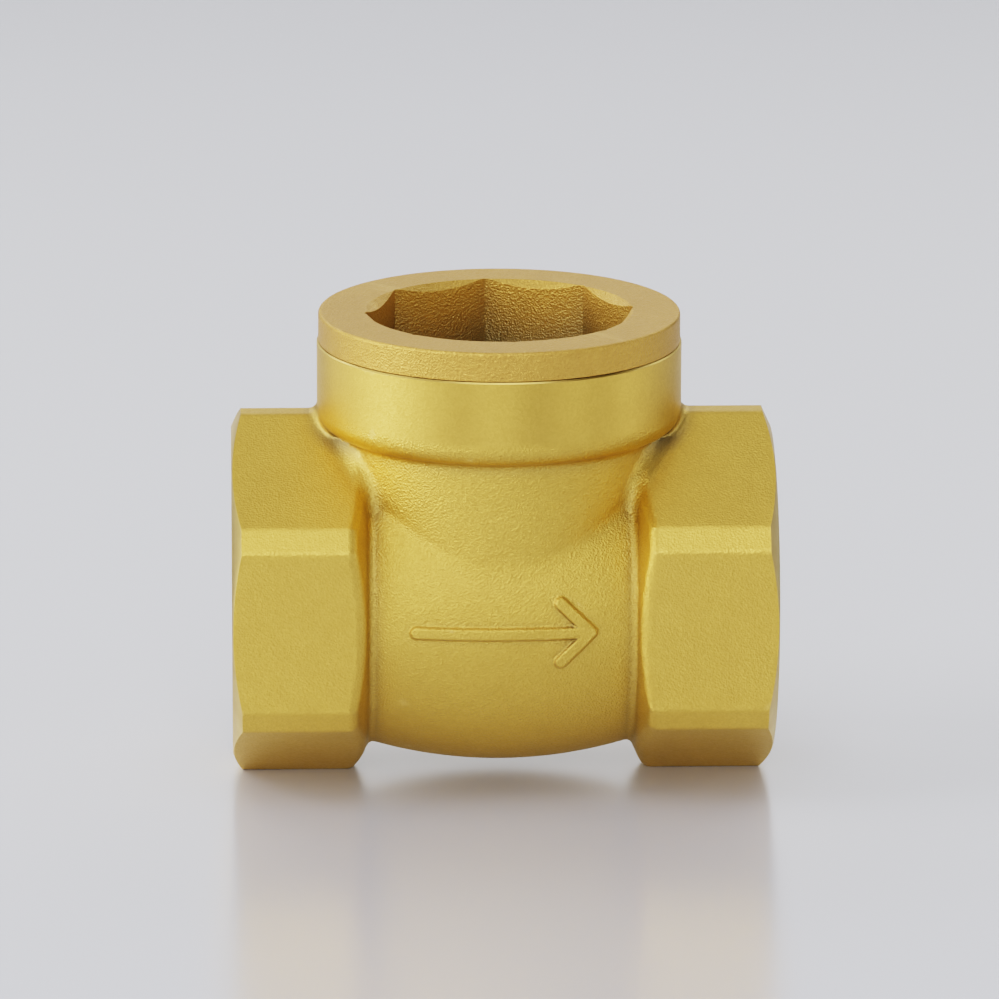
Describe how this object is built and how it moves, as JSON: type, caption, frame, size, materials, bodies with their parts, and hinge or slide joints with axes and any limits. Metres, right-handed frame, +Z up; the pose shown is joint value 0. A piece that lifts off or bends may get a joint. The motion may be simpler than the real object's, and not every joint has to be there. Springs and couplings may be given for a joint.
{
  "type": "check valve",
  "caption": "Forged brass swing check valve with hexagonal, internally threaded ends, a round neck closed by a screwed cap with an octagonal key socket, and a hinged clapper inside.",
  "frame": {"origin": "on the axis of the neck and cap, in the plane of the corner flats that the valve stands on, 22.6 mm below the flow axis", "axes": "+X along the flow, from the inlet to the outlet; +Z up the neck axis through the cap; -Y is the front, which carries the flow arrow"},
  "size_m": [0.0664, 0.0448, 0.0581],
  "materials": {
    "forged_brass": "shot-blasted satin",
    "machined_brass": "fine turned, lightly blasted",
    "stainless_steel": "drawn, satin",
    "nitrile_rubber": "matt moulded",
    "fibre_gasket": "matt pressed fibre"
  },
  "bodies": {
    "valve": {"valve_body": "forged_brass"},
    "gasket": {"cap_gasket": "fibre_gasket"},
    "cap": {"cap": "machined_brass"},
    "pin": {"hinge_pin": "stainless_steel"},
    "arm": {"hinge_arm": "forged_brass"},
    "clapper": {"disc": "machined_brass", "disc_seal": "nitrile_rubber", "seal_retainer": "machined_brass", "retainer_screw": "stainless_steel", "disc_washer": "stainless_steel", "disc_nut": "machined_brass", "split_pin": "stainless_steel"}
  },
  "joints": [
    {"name": "clapper_swing", "type": "hinge", "parent": "valve", "child": "arm", "pos_m": [-0.011, 0, 0.04275], "axis": [0, -1, 0], "range_deg": [0, 60]},
    {"name": "disc_spin", "type": "hinge", "parent": "arm", "child": "clapper", "pos_m": [-0.007, 0, 0.02275], "axis": [1, 0, 0], "continuous": true},
    {"name": "pin_spin", "type": "hinge", "parent": "valve", "child": "pin", "pos_m": [-0.011, 0, 0.04275], "axis": [0, 1, 0], "continuous": true},
    {"name": "cap_lift", "type": "slide", "parent": "valve", "child": "gasket", "axis": [0, 0, 1], "range_m": [0, 0.0092]},
    {"name": "cap_turn", "type": "hinge", "parent": "gasket", "child": "cap", "pos_m": [-0.0003, 0, 0.05465], "axis": [0, 0, 1], "range_deg": [0, 2160]}
  ],
  "couplings": [
    {"joint": "cap_lift", "follows": "cap_turn", "m_per_rad": 0.00023873}
  ]
}
